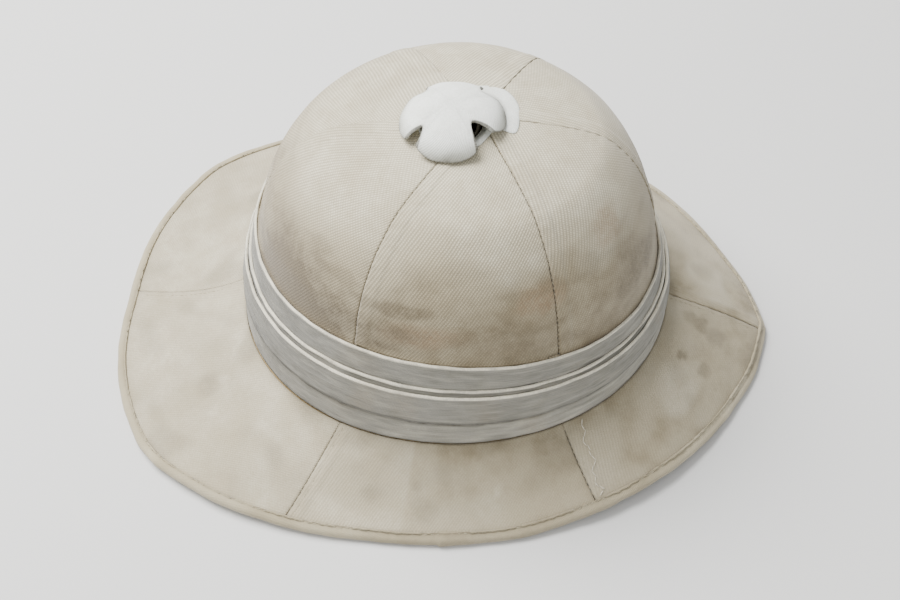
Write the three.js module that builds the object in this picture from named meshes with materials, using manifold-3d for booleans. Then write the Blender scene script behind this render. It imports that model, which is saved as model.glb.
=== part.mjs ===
// Pith helmet: a moulded crown and brim covered with six crown panels and six brim panels of cloth,
// a folded binding round the brim, a pugaree of four lapped folds, and a cloth-covered ventilator.
// Millimetres, +Z up. The helmet stands on its brim at z = 0, with the front of the brim towards -Y.
// Angles are in degrees round the crown's axis, from the front (-Y) towards the wearer's left (+X).
import * as THREE from "three";
import { mergeVertices } from "three/addons/utils/BufferGeometryUtils.js";
import Module from "manifold-3d";

// ---- Driving sizes -------------------------------------------------------------------------

const CROWN_AXIS_Y = -8; // the crown stands ahead of the middle of the brim
const GAP = 0.3; // kept between pieces that touch
const CLOTH = 1; // crown and brim panels
const CROWN_WALL = 6; // shell, crown
const BRIM_WALL_AT_CROWN = 4.5; // shell, brim
const BRIM_WALL_AT_RIM = 2.2;
const BINDING = { cloth: 0.8, width: 5, flat: 2, corner: 1.2 };
const RIM_HEIGHT = 2 * BINDING.cloth + 3 * GAP + CLOTH + BRIM_WALL_AT_RIM;
const CROWN_TOP = 163.8; // top of the crown's cloth
const TOP_MEETING = { x: -4, y: -18.5 }; // where the crown seams would meet
const VENT = { x: -7, y: -6.5, radius: 14, inside: 15 }; // hole under the ventilator
const WASHER = { x: -5, y: -12.5, radius: 22, thick: 0.8 };
const CAP = { radius: 24.8, height: 14, skirt: 5, wall: 1.6, archRadius: 6, archRise: 4 };
const CAP_ARCHES = [42, 138, 225, 318];
const COLLAR = { radius: 12.8, wall: 1.6, depth: 9, bar: 4, post: 2.5 };
const SEAM_GAP = 0.35; // between neighbouring panels

// Reach of the rim from the crown's axis, the same on both sides.
const RIM = [
  { at: 0, reach: 172.3 },
  { at: 8, reach: 169.6 },
  { at: 18, reach: 162.6 },
  { at: 32, reach: 154.8 },
  { at: 48, reach: 147.8 },
  { at: 66, reach: 142.6 },
  { at: 84, reach: 141.7 },
  { at: 102, reach: 145.8 },
  { at: 120, reach: 159.1 },
  { at: 136, reach: 175.3 },
  { at: 150, reach: 188.3 },
  { at: 165, reach: 190 },
  { at: 180, reach: 187.7 },
];

// How far the rim's underside lifts off the floor: it rests at the front, the back and both sides.
const RIM_LIFT = [
  { at: 0, lift: 0 },
  { at: 10, lift: 0 },
  { at: 45, lift: 5.5 },
  { at: 78, lift: 0 },
  { at: 102, lift: 0 },
  { at: 135, lift: 2.5 },
  { at: 165, lift: 0 },
  { at: 180, lift: 0 },
];

// The brim's slope from the crown to the rim: 1 is straight, more is hollow, less is full.
const BRIM_HOLLOW = [
  { at: 0, power: 0.8 },
  { at: 60, power: 1.35 },
  { at: 120, power: 1.3 },
  { at: 180, power: 2.6 },
];

// Oval sections of the crown's cloth, where it meets the brim and at the top of the pugaree.
const CROWN_FOOT = { front: 112.4, back: 114.4, side: 101.9, z: 33.1, tilt: 4.8, sag: -2.1 };
const CROWN_SHOULDER = { front: 103.9, back: 101.5, side: 93.8, z: 86.7, tilt: -6.5, sag: -4.7 };

// The dome above the pugaree, as shares of its reach and of its height.
const DOME = [
  { reach: 0, height: 1 },
  { reach: 0.3, height: 0.95 },
  { reach: 0.61, height: 0.85 },
  { reach: 0.76, height: 0.7 },
  { reach: 0.87, height: 0.5 },
  { reach: 0.95, height: 0.25 },
  { reach: 1, height: 0 },
];

// Seams between the panels, on the crown and on the brim.
const SEAMS = [
  { crown: 1.8, brim: -1.2 },
  { crown: 58.5, brim: 58 },
  { crown: 116.6, brim: 120.3 },
  { crown: 182.1, brim: 178.8 },
  { crown: 242.9, brim: 239.7 },
  { crown: 303.9, brim: 303.6 },
];

// The pugaree's folds, from its foot (0) to its top (1). The inner faces stand off the crown by
// "inLow" at the fold's lower edge and "inHigh" at its upper edge.
const FOLDS = [
  { name: "pugaree_bottom", low: 0.005, high: 0.3, inLow: 0.3, inHigh: 0.3, thick: 1.2 },
  { name: "pugaree_wide", low: 0.24, high: 0.655, inLow: 1.8, inHigh: 3.3, thick: 1.3 },
  { name: "pugaree_narrow", low: 0.56, high: 0.725, inLow: 1.8, inHigh: 1.8, thick: 0.9 },
  { name: "pugaree_top", low: 0.6, high: 1, inLow: 0.3, inHigh: 0.3, thick: 1.2 },
];

// Facets.
const STEPS_PER_PANEL = 7;
const AROUND = STEPS_PER_PANEL * SEAMS.length;
const DOME_ROWS = 8;
const WALL_ROWS = 2;
const BRIM_ROWS = 4;
const WASHER_ROWS = 1;
const CAP_STEPS = 28;
const CAP_ROWS = 5;
const ARCH_STEPS = 12;
const BRIM_START = 0.01; // where the moulded brim meets the moulded crown
const COVER_START = 0.025; // where the brim's cloth begins

// ---- Curves --------------------------------------------------------------------------------

// A smooth curve through a table's column that never overshoots its rows.
function smooth(table, key, column, at) {
  const last = table.length - 1;
  const x = table.map((row) => row[key]);
  const y = table.map((row) => row[column]);
  const clamped = Math.min(Math.max(at, x[0]), x[last]);
  const rise = x.slice(1).map((end, i) => (y[i + 1] - y[i]) / (end - x[i]));
  const slope = x.map((_, i) => {
    if (i === 0 || i === last || rise[i - 1] * rise[i] <= 0) return 0;
    return (2 * rise[i - 1] * rise[i]) / (rise[i - 1] + rise[i]);
  });
  const i = Math.min(last - 1, x.findLastIndex((start) => start <= clamped));
  const width = x[i + 1] - x[i];
  const t = (clamped - x[i]) / width;
  return (
    y[i] * (1 + 2 * t) * (1 - t) ** 2 +
    y[i + 1] * t * t * (3 - 2 * t) +
    width * t * (1 - t) * (slope[i] * (1 - t) - slope[i + 1] * t)
  );
}

const radians = THREE.MathUtils.degToRad;

// The same angle on the right-hand half, from 0 at the front to 180 at the back.
function fold(angle) {
  const turned = ((angle % 360) + 360) % 360;
  return turned > 180 ? 360 - turned : turned;
}

function polar(angle, reach, z) {
  const a = radians(angle);
  return new THREE.Vector3(Math.sin(a) * reach, CROWN_AXIS_Y - Math.cos(a) * reach, z);
}

function ovalPoint(oval, angle) {
  const sin = Math.sin(radians(angle));
  const cos = Math.cos(radians(angle));
  const length = cos > 0 ? oval.front : oval.back;
  const reach = 1 / Math.hypot(sin / oval.side, cos / length);
  return polar(angle, reach, oval.z + oval.tilt * cos + oval.sag * Math.cos(radians(2 * angle)));
}

// ---- The cloth's outer faces ---------------------------------------------------------------

// The dome's cloth at a share of its reach: 1 at the pugaree, 0 where the seams would meet.
function domePoint(angle, share) {
  const shoulder = ovalPoint(CROWN_SHOULDER, angle);
  const rise = smooth(DOME, "reach", "height", share);
  return new THREE.Vector3(
    shoulder.x * share + TOP_MEETING.x * (1 - share),
    shoulder.y * share + TOP_MEETING.y * (1 - share),
    shoulder.z + (CROWN_TOP - shoulder.z) * rise,
  );
}

// The share of the dome's reach at which a seam's line comes to a circle round a centre.
function shareAtCircle(angle, centre, radius) {
  const shoulder = ovalPoint(CROWN_SHOULDER, angle);
  const run = { x: shoulder.x - TOP_MEETING.x, y: shoulder.y - TOP_MEETING.y };
  const off = { x: TOP_MEETING.x - centre.x, y: TOP_MEETING.y - centre.y };
  const a = run.x ** 2 + run.y ** 2;
  const b = run.x * off.x + run.y * off.y;
  const c = off.x ** 2 + off.y ** 2 - radius ** 2;
  return (-b + Math.sqrt(b * b - a * c)) / a;
}

// The crown's cloth: way -1 at the brim, 0 at the top of the pugaree, 1 at the top hole's edge.
function crownPoint(angle, way, holeRadius) {
  if (way <= 0) {
    return ovalPoint(CROWN_SHOULDER, angle).lerp(ovalPoint(CROWN_FOOT, angle), -way);
  }
  const edge = shareAtCircle(angle, VENT, holeRadius);
  return domePoint(angle, edge + (1 - edge) * Math.cos((way * Math.PI) / 2));
}

// The brim's cloth: way 0 at the crown, 1 at the rim.
function brimPoint(angle, way) {
  const foot = ovalPoint(CROWN_FOOT, angle);
  const side = fold(angle);
  const rimZ = rimLift(angle) + RIM_HEIGHT - BINDING.cloth - GAP;
  const rim = polar(angle, smooth(RIM, "at", "reach", side) - BINDING.cloth - GAP, rimZ);
  const hollow = smooth(BRIM_HOLLOW, "at", "power", side);
  const point = foot.clone().lerp(rim, way);
  point.z = rimZ + (foot.z - rimZ) * (1 - way) ** hollow;
  return point;
}

function rimLift(angle) {
  return smooth(RIM_LIFT, "at", "lift", fold(angle));
}

// A face moved along its own normal, outwards for a positive lift.
function lifted(face, angle, way, lift) {
  const STEP = 0.01;
  const DEGREES = 0.5;
  const across = face(angle + DEGREES, way).sub(face(angle - DEGREES, way));
  const along = face(angle, way + STEP).sub(face(angle, way - STEP));
  const normal = across.cross(along).normalize();
  return face(angle, way).addScaledVector(normal, lift);
}

const crownFace = (radius) => (angle, way) => crownPoint(angle, Math.min(way, 1), radius);

function crownAt(angle, way, lift, radius = VENT.radius) {
  return lifted(crownFace(radius), angle, way, lift);
}

function brimAt(angle, way, lift) {
  const face = (a, w) => brimPoint(a, Math.min(Math.max(w, 0), 1));
  return lifted(face, angle, way, -lift);
}

// ---- Solids from sections ------------------------------------------------------------------

function geometryOf(points, index) {
  const geometry = new THREE.BufferGeometry();
  const positions = points.flatMap((point) => [point.x, point.y, point.z]);
  geometry.setAttribute("position", new THREE.Float32BufferAttribute(positions, 3));
  geometry.setIndex(index);
  return geometry;
}

// A closed body through sections, each a closed loop with the same number of points. Sections
// follow one another by angle, and each goes up its outer side and back down its inner side.
function loft(sections, joined) {
  const points = sections[0].length;
  const index = [];
  const quad = (a, b, c, d) => index.push(a, b, c, a, c, d);
  const spans = joined ? sections.length : sections.length - 1;
  for (let s = 0; s < spans; s += 1) {
    const here = s * points;
    const next = ((s + 1) % sections.length) * points;
    for (let p = 0; p < points; p += 1) {
      const q = (p + 1) % points;
      // Both sides are split the same way, so that nested pieces have matching facets.
      if (p < points / 2) quad(here + p, next + p, next + q, here + q);
      else quad(here + q, here + p, next + p, next + q);
    }
  }
  if (!joined) {
    const end = (sections.length - 1) * points;
    for (let p = 0; p + 1 < points / 2; p += 1) {
      const q = points - 1 - p;
      quad(p, p + 1, q - 1, q);
      quad(end + p, end + q, end + q - 1, end + p + 1);
    }
  }
  return geometryOf(sections.flat(), index);
}

// The angle at a share of the way across a panel, on the crown or on the brim.
function panelAngle(number, part, share) {
  const start = SEAMS[number][part];
  const last = number + 1 === SEAMS.length;
  const end = last ? SEAMS[0][part] + 360 : SEAMS[number + 1][part];
  return start + (end - start) * share;
}

// The angle of one of the columns of facets that go all the way round and meet every seam.
function columnAngle(column, part) {
  const number = Math.floor(column / STEPS_PER_PANEL);
  return panelAngle(number, part, (column % STEPS_PER_PANEL) / STEPS_PER_PANEL);
}

const around = (section) => Array.from({ length: AROUND }, (_, column) => section(column));

const steps = (from, to, count) =>
  Array.from({ length: count + 1 }, (_, i) => from + ((to - from) * i) / count);

// The way out along the brim at which the binding begins.
const bindingWay = (angle) => 1 - BINDING.width / brimReach(angle);

// Ways out along the brim, closer together near the crown, where it bends most.
function brimWays(angle, start) {
  const rows = steps(0, 1, BRIM_ROWS).slice(1);
  return [start, ...rows.map((row) => bindingWay(angle) * row ** 1.4), 1];
}

// Thickness of the shell's brim.
const brimWall = (way) => THREE.MathUtils.lerp(BRIM_WALL_AT_CROWN, BRIM_WALL_AT_RIM, way);

// Moves a point level and square to its seam.
function aside(point, angle, distance) {
  const a = radians(angle);
  return point.add(new THREE.Vector3(Math.cos(a) * distance, Math.sin(a) * distance, 0));
}

// A panel of cloth between two seams. "at" gives a point of its face, lifted off it.
function panel(number, part, ways, at) {
  const sections = steps(0, 1, STEPS_PER_PANEL).map((share) => {
    const angle = panelAngle(number, part, share);
    const inset = share === 0 ? SEAM_GAP / 2 : share === 1 ? -SEAM_GAP / 2 : 0;
    const side = (lift) => ways(angle).map((way) => aside(at(angle, way, lift), angle, inset));
    return [...side(0), ...side(-CLOTH).reverse()];
  });
  return loft(sections, false);
}

// ---- Pieces --------------------------------------------------------------------------------

const UNDER_CLOTH = -CLOTH - GAP;

// The moulded crown, open below and at the hole on top.
function shellCrownGeometry() {
  const section = (column) => {
    const onCrown = columnAngle(column, "crown");
    const onBrim = columnAngle(column, "brim");
    const inward = UNDER_CLOTH - CROWN_WALL;
    const mouth = crownAt(onCrown, -1, inward);
    mouth.z -= BRIM_WALL_AT_CROWN;
    return [
      brimAt(onBrim, BRIM_START, UNDER_CLOTH),
      ...steps(-1, 0, WALL_ROWS).map((way) => crownAt(onCrown, way, UNDER_CLOTH)),
      ...steps(0, 1, DOME_ROWS).slice(1).map((way) => crownAt(onCrown, way, UNDER_CLOTH)),
      ...steps(1, 0, DOME_ROWS).map((way) => crownAt(onCrown, way, inward, VENT.inside)),
      mouth,
      brimAt(onBrim, BRIM_START, UNDER_CLOTH - brimWall(BRIM_START)),
    ];
  };
  return loft(around(section), true);
}

// The moulded brim, a ring fixed round the crown's foot.
function shellBrimGeometry() {
  const section = (column) => {
    const angle = columnAngle(column, "brim");
    const ways = brimWays(angle, BRIM_START + GAP / brimReach(angle));
    return [
      ...ways.toReversed().map((way) => brimAt(angle, way, UNDER_CLOTH)),
      ...ways.map((way) => brimAt(angle, way, UNDER_CLOTH - brimWall(way))),
    ];
  };
  return loft(around(section), true);
}

function crownGoreGeometry(number) {
  const ways = [...steps(-0.97, 0, WALL_ROWS), ...steps(0, 1, DOME_ROWS).slice(1)];
  const at = (angle, way, lift) => crownAt(angle, way, lift, VENT.radius + GAP);
  return panel(number, "crown", () => ways, at);
}

function brimCoverGeometry(number) {
  const ways = (angle) => brimWays(angle, COVER_START).reverse();
  return panel(number, "brim", ways, brimAt);
}

// A strip folded over the rim, with a flat edge below for the helmet to rest on.
function bindingGeometry() {
  const { cloth, flat, corner } = BINDING;
  const section = (column) => {
    const angle = columnAngle(column, "brim");
    const edge = smooth(RIM, "at", "reach", fold(angle));
    const low = rimLift(angle);
    const high = low + RIM_HEIGHT;
    const way = bindingWay(angle);
    const below = UNDER_CLOTH - brimWall(way) - GAP;
    const foot = brimAt(angle, way, below - cloth);
    foot.z = Math.max(foot.z, low);
    return [
      foot,
      polar(angle, edge - corner - flat, low),
      polar(angle, edge - corner, low),
      polar(angle, edge, low + corner),
      polar(angle, edge, high - corner),
      polar(angle, edge - corner, high),
      brimAt(angle, way, GAP + cloth),
      brimAt(angle, way, GAP),
      polar(angle, edge - cloth - 0.01, high - cloth),
      polar(angle, edge - cloth, high - cloth - 0.01),
      polar(angle, edge - cloth, low + cloth + 0.01),
      polar(angle, edge - cloth - 0.01, low + cloth),
      polar(angle, edge - corner - flat, low + cloth),
      brimAt(angle, way, below),
    ];
  };
  return loft(around(section), true);
}

// Length of the brim's slope in plan.
function brimReach(angle) {
  const run = brimPoint(angle, 1).sub(brimPoint(angle, 0));
  return Math.hypot(run.x, run.y);
}

function foldGeometry({ low, high, inLow, inHigh, thick }) {
  const section = (column) => {
    const angle = columnAngle(column, "crown");
    const at = (share, lift) => crownAt(angle, share - 1, lift);
    return [at(low, inLow + thick), at(high, inHigh + thick), at(high, inHigh), at(low, inLow)];
  };
  return loft(around(section), true);
}

// The pale disc of cloth between the cap and the crown, with the crown's hole through it.
function washerGeometry() {
  const section = (column) => {
    const angle = columnAngle(column, "crown");
    const inner = shareAtCircle(angle, VENT, VENT.radius + GAP);
    const outer = shareAtCircle(angle, WASHER, WASHER.radius);
    const shares = steps(outer, inner, WASHER_ROWS);
    const side = (lift) => shares.map((share) => lifted(domePoint, angle, share, -lift));
    return [...side(GAP + WASHER.thick), ...side(GAP).reverse()];
  };
  return loft(around(section), true);
}

// ---- Ventilator: joined and cut solids ------------------------------------------------------

const wasm = await Module();
wasm.setup();

function solid(geometry) {
  const bare = geometry.clone();
  bare.deleteAttribute("normal");
  bare.deleteAttribute("uv");
  const merged = mergeVertices(bare, 1e-4);
  const mesh = new wasm.Mesh({
    numProp: 3,
    vertProperties: merged.attributes.position.array,
    triVerts: new Uint32Array(merged.index.array),
  });
  return new wasm.Manifold(mesh);
}

function geometryOfSolid(made) {
  const mesh = made.getMesh();
  const geometry = new THREE.BufferGeometry();
  geometry.setAttribute("position", new THREE.BufferAttribute(mesh.vertProperties, 3));
  geometry.setIndex(new THREE.BufferAttribute(mesh.triVerts, 1));
  return geometry;
}

// Where the ventilator's axis passes through the crown's cloth, and the cloth's lean there.
function ventSeat() {
  const reach = CAP.radius;
  const heightAt = (angle) => {
    const share = shareAtCircle(angle, VENT, reach);
    return domePoint(angle, share).z;
  };
  const front = heightAt(0);
  const back = heightAt(180);
  return { z: (front + back) / 2, lean: Math.atan2(front - back, 2 * reach) };
}

// The space under a face that stands off the crown's top, for trimming the cap's lobes.
function crownBlock(lift) {
  const rings = [0.5, 0.38, 0.26, 0.14];
  const section = (column) => {
    const angle = columnAngle(column, "crown");
    return rings.map((share) => lifted(domePoint, angle, share, -lift));
  };
  const columns = around(section);
  const points = columns.flat();
  const index = [];
  const top = points.push(new THREE.Vector3(TOP_MEETING.x, TOP_MEETING.y, CROWN_TOP + lift)) - 1;
  const base = points.push(new THREE.Vector3(TOP_MEETING.x, TOP_MEETING.y, CROWN_TOP / 2)) - 1;
  const count = rings.length;
  columns.forEach((_, column) => {
    const here = column * count;
    const next = ((column + 1) % columns.length) * count;
    index.push(here, base, next);
    for (let p = 0; p + 1 < count; p += 1) {
      index.push(here + p, next + p, next + p + 1, here + p, next + p + 1, here + p + 1);
    }
    index.push(here + count - 1, next + count - 1, top);
  });
  return solid(geometryOf(points, index));
}

// A thin dome with four arches cut in its edge, trimmed to sit on the washer.
function capGeometry() {
  const { radius, height, skirt, wall, archRadius, archRise } = CAP;
  const seat = ventSeat();
  const quarter = steps(0, Math.PI / 2, CAP_ROWS);
  const outer = quarter.map((a) => new THREE.Vector2(radius * Math.cos(a), height * Math.sin(a)));
  const inner = quarter.map(
    (a) => new THREE.Vector2((radius - wall) * Math.cos(a), (height - wall) * Math.sin(a)),
  );
  outer[CAP_ROWS].x = 0;
  inner[CAP_ROWS].x = 0;
  const profile = [
    new THREE.Vector2(radius - wall, -skirt),
    new THREE.Vector2(radius, -skirt),
    ...outer,
    ...inner.reverse(),
    new THREE.Vector2(radius - wall, -skirt),
  ];
  const dome = new THREE.LatheGeometry(profile, CAP_STEPS).rotateX(Math.PI / 2);
  let cap = solid(dome);
  CAP_ARCHES.forEach((angle) => {
    const bore = new THREE.CylinderGeometry(archRadius, archRadius, radius, ARCH_STEPS);
    bore.translate(0, radius, 0).translate(0, 0, archRise).rotateZ(radians(angle));
    const mouth = new THREE.BoxGeometry(2 * archRadius, radius, 2 * skirt);
    mouth.translate(0, radius, archRise - skirt).rotateZ(radians(angle));
    cap = cap.subtract(solid(bore)).subtract(solid(mouth));
  });
  const placed = geometryOfSolid(cap);
  placed.rotateX(-seat.lean).translate(VENT.x, VENT.y, seat.z);
  const trimmed = solid(placed).subtract(crownBlock(WASHER.thick + 2 * GAP));
  return geometryOfSolid(trimmed);
}

// Hidden under the cap: a ring in the shell's hole, with a bar across it that carries a post.
function collarGeometry() {
  const seat = ventSeat();
  const outer = COLLAR.radius;
  const inner = outer - COLLAR.wall;
  const low = -COLLAR.depth;
  const rim = [
    new THREE.Vector2(inner, low),
    new THREE.Vector2(outer, low),
    new THREE.Vector2(outer, 0),
    new THREE.Vector2(inner, 0),
    new THREE.Vector2(inner, low),
  ];
  const ring = new THREE.LatheGeometry(rim, CAP_STEPS).rotateX(Math.PI / 2);
  const bar = new THREE.BoxGeometry(2 * inner + COLLAR.wall, COLLAR.bar, COLLAR.bar);
  bar.translate(0, 0, low + COLLAR.bar / 2);
  const postTop = CAP.height - CAP.wall - 2 * GAP;
  const post = new THREE.CylinderGeometry(COLLAR.post, COLLAR.post, postTop - low, ARCH_STEPS);
  post.rotateX(Math.PI / 2).translate(0, 0, (postTop + low) / 2);
  const collar = geometryOfSolid(solid(ring).add(solid(bar)).add(solid(post)));
  return collar.rotateX(-seat.lean).translate(VENT.x, VENT.y, seat.z);
}

// ---- Helmet --------------------------------------------------------------------------------

const material = (color) => new THREE.MeshStandardMaterial({ color, roughness: 0.9, metalness: 0 });

const helmet = new THREE.Group();

function addPiece(name, geometry, colour) {
  const piece = new THREE.Mesh(geometry, material(colour));
  piece.name = name;
  helmet.add(piece);
}

addPiece("shell_crown", shellCrownGeometry(), "#b7a98a");
addPiece("shell_brim", shellBrimGeometry(), "#b7a98a");
SEAMS.forEach((_, i) => {
  addPiece(`crown_gore_${i + 1}`, crownGoreGeometry(i), "#a59c88");
  addPiece(`brim_cover_${i + 1}`, brimCoverGeometry(i), "#a59c88");
});
addPiece("brim_binding", bindingGeometry(), "#aaa08a");
FOLDS.forEach((row) => addPiece(row.name, foldGeometry(row), "#9a9588"));
addPiece("ventilator_washer", washerGeometry(), "#cfccc2");
addPiece("ventilator_collar", collarGeometry(), "#8c8677");
addPiece("ventilator_cap", capGeometry(), "#cfccc2");

export default helmet;
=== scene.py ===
import math

import bmesh
import bpy
import numpy as np
from mathutils import Matrix, Vector, noise


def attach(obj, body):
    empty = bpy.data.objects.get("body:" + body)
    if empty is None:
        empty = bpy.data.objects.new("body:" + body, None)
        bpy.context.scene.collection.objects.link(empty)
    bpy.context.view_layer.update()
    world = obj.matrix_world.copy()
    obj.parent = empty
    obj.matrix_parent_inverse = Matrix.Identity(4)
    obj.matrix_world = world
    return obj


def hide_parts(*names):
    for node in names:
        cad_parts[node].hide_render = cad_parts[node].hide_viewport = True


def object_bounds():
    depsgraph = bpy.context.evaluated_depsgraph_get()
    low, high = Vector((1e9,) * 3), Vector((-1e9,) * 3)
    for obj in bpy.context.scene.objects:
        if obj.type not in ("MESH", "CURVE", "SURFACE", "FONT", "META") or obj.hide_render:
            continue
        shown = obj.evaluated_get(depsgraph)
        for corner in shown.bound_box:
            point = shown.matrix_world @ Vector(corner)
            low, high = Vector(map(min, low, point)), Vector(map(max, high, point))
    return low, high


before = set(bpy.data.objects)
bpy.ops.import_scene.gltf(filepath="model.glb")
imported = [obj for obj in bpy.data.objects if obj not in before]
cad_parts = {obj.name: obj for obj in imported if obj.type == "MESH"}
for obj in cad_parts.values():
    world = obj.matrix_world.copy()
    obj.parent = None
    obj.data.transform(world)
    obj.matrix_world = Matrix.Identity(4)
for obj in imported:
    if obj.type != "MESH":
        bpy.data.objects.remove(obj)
cad_low, cad_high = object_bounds()

MM = 0.001
BODY = "root"

# ---- Sizes shared with the frame ------------------------------------------------------------

CROWN_AXIS_Y = -8
GAP = 0.3
CLOTH = 1
CROWN_WALL = 6
BRIM_WALL_AT_CROWN = 4.5
BRIM_WALL_AT_RIM = 2.2
BINDING_CLOTH = 0.8
BINDING_WIDTH = 5
RIM_HEIGHT = 2 * BINDING_CLOTH + 3 * GAP + CLOTH + BRIM_WALL_AT_RIM
CROWN_TOP = 163.8
TOP_MEETING = (-4, -18.5)
VENT = (-7, -6.5)
VENT_RADIUS = 14
VENT_INSIDE = 15
WASHER = (-5, -12.5)
WASHER_THICK = 0.8
CAP_RADIUS = 24.8
CAP_HEIGHT = 14
CAP_WALL = 1.6
COLLAR_RADIUS = 12.8
COLLAR_WALL = 1.6
COLLAR_DEPTH = 9
COLLAR_BAR = 4
COLLAR_POST = 2.5
BRIM_START = 0.01

# Angle from the front, and the rim's reach from the crown's axis there.
RIM = [
    (0, 172.3), (8, 169.6), (18, 162.6), (32, 154.8), (48, 147.8), (66, 142.6), (84, 141.7),
    (102, 145.8), (120, 159.1), (136, 175.3), (150, 188.3), (165, 190), (180, 187.7),
]
# The slight corner at the front of the rim: how far it stands out, and how fast it dies away in degrees.
TIP_CORNER = 2.0
TIP_SPREAD = 3.5
# Angle, and how far the rim's underside lifts off the floor.
RIM_LIFT = [(0, 0), (10, 0), (45, 5.5), (78, 0), (102, 0), (135, 2.5), (165, 0), (180, 0)]
# Angle, and how hollow the brim's slope is: 1 is straight.
BRIM_HOLLOW = [(0, 0.8), (60, 1.35), (120, 1.3), (180, 2.6)]
CROWN_FOOT = {"front": 112.4, "back": 114.4, "side": 101.9, "z": 33.1, "tilt": 4.8, "sag": -2.1}
CROWN_SHOULDER = {"front": 103.9, "back": 101.5, "side": 93.8, "z": 86.7, "tilt": -6.5, "sag": -4.7}
# Share of the dome's reach, and the share of its height there.
DOME = [(0, 1), (0.3, 0.95), (0.61, 0.85), (0.76, 0.7), (0.87, 0.5), (0.95, 0.25), (1, 0)]
# Seams between the panels, on the crown and on the brim.
CROWN_SEAMS = [1.8, 58.5, 116.6, 182.1, 242.9, 303.9]
BRIM_SEAMS = [-1.2, 58, 120.3, 178.8, 239.7, 303.6]
PANELS = len(CROWN_SEAMS)

# ---- Curves and faces, as in the frame ------------------------------------------------------


def smooth(rows, at):
    """A smooth curve through rows of (x, y) that never overshoots them."""
    x, y = np.array(rows, float).T
    at = np.clip(at, x[0], x[-1])
    rise = np.diff(y) / np.diff(x)
    turns = rise[:-1] * rise[1:] <= 0
    total = np.where(turns, 1, rise[:-1] + rise[1:])
    slope = np.zeros(len(x))
    slope[1:-1] = np.where(turns, 0, 2 * rise[:-1] * rise[1:] / total)
    i = np.clip(np.searchsorted(x, at, side="right") - 1, 0, len(x) - 2)
    width = x[i + 1] - x[i]
    t = (at - x[i]) / width
    ends = y[i] * (1 + 2 * t) * (1 - t) ** 2 + y[i + 1] * t * t * (3 - 2 * t)
    return ends + width * t * (1 - t) * (slope[i] * (1 - t) - slope[i + 1] * t)


def ramp(value, start, end):
    """0 before start and 1 after end, with a soft step between."""
    t = np.clip((value - start) / (end - start), 0, 1)
    return t * t * (3 - 2 * t)


def fold(angle):
    turned = np.mod(angle, 360)
    return np.where(turned > 180, 360 - turned, turned)


def polar(angle, reach, z):
    a = np.radians(angle)
    return np.stack(np.broadcast_arrays(np.sin(a) * reach, CROWN_AXIS_Y - np.cos(a) * reach, z), -1)


def oval(size, angle):
    a = np.radians(angle)
    length = np.where(np.cos(a) > 0, size["front"], size["back"])
    reach = 1 / np.hypot(np.sin(a) / size["side"], np.cos(a) / length)
    return polar(angle, reach, size["z"] + size["tilt"] * np.cos(a) + size["sag"] * np.cos(2 * a))


def mix(a, b, share):
    return a + (b - a) * np.asarray(share)[..., None]


def dome(angle, share):
    """The dome's cloth: share 1 at the pugaree, 0 where the seams would meet."""
    shoulder = oval(CROWN_SHOULDER, angle)
    point = mix(np.array([*TOP_MEETING, 0.0]), shoulder, share)
    point[..., 2] = shoulder[..., 2] + (CROWN_TOP - shoulder[..., 2]) * smooth(DOME, share)
    return point


def share_at_circle(angle, centre, radius):
    run = oval(CROWN_SHOULDER, angle)[..., :2] - np.array(TOP_MEETING)
    off = np.array(TOP_MEETING) - np.array(centre)
    a = (run**2).sum(-1)
    b = (run * off).sum(-1)
    return (-b + np.sqrt(b * b - a * ((off**2).sum() - radius**2))) / a


def crown(angle, way, hole=VENT_RADIUS):
    """The crown's cloth: way -1 at the brim, 0 at the pugaree's top, 1 at the top hole's edge."""
    way = np.minimum(way, 1)
    wall = mix(oval(CROWN_SHOULDER, angle), oval(CROWN_FOOT, angle), -np.minimum(way, 0))
    edge = share_at_circle(angle, VENT, hole)
    share = edge + (1 - edge) * np.cos(np.maximum(way, 0) * np.pi / 2)
    return np.where(np.asarray(way)[..., None] <= 0, wall, dome(angle, share))


def rim_lift(angle):
    return smooth(RIM_LIFT, fold(angle))


def rim_reach(angle):
    """The rim, with the slight corner that the seam makes at the front."""
    return smooth(RIM, fold(angle)) + TIP_CORNER * np.exp(-fold(angle) / TIP_SPREAD)


def brim(angle, way):
    """The brim's cloth: way 0 at the crown, 1 at the rim."""
    way = np.clip(way, 0, 1)
    rim_z = rim_lift(angle) + RIM_HEIGHT - BINDING_CLOTH - GAP
    foot = oval(CROWN_FOOT, angle)
    point = mix(foot, polar(angle, rim_reach(angle) - BINDING_CLOTH - GAP, rim_z), way)
    hollow = smooth(BRIM_HOLLOW, fold(angle))
    point[..., 2] = rim_z + (foot[..., 2] - rim_z) * (1 - way) ** hollow
    return point


def lifted(face, angle, way, lift):
    """A face moved along its own normal."""
    across = face(angle + 0.5, way) - face(angle - 0.5, way)
    along = face(angle, way + 0.01) - face(angle, way - 0.01)
    normal = np.cross(across, along)
    normal /= np.linalg.norm(normal, axis=-1, keepdims=True)
    return face(angle, way) + normal * np.asarray(lift)[..., None]


def crown_at(angle, way, lift, hole=VENT_RADIUS):
    return lifted(lambda a, w: crown(a, w, hole), angle, way, lift)


def brim_at(angle, way, lift):
    return lifted(brim, angle, way, -np.asarray(lift))


def brim_run(angle):
    """Length of the brim's slope in plan."""
    return np.linalg.norm((brim(angle, 1) - brim(angle, 0))[..., :2], axis=-1)


def binding_way(angle):
    return 1 - BINDING_WIDTH / brim_run(angle)


def brim_wall(way):
    return BRIM_WALL_AT_CROWN + (BRIM_WALL_AT_RIM - BRIM_WALL_AT_CROWN) * way


def panel_angle(seams, number, share):
    start = seams[number]
    end = seams[number + 1] if number + 1 < len(seams) else seams[0] + 360
    return start + (end - start) * share


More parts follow.
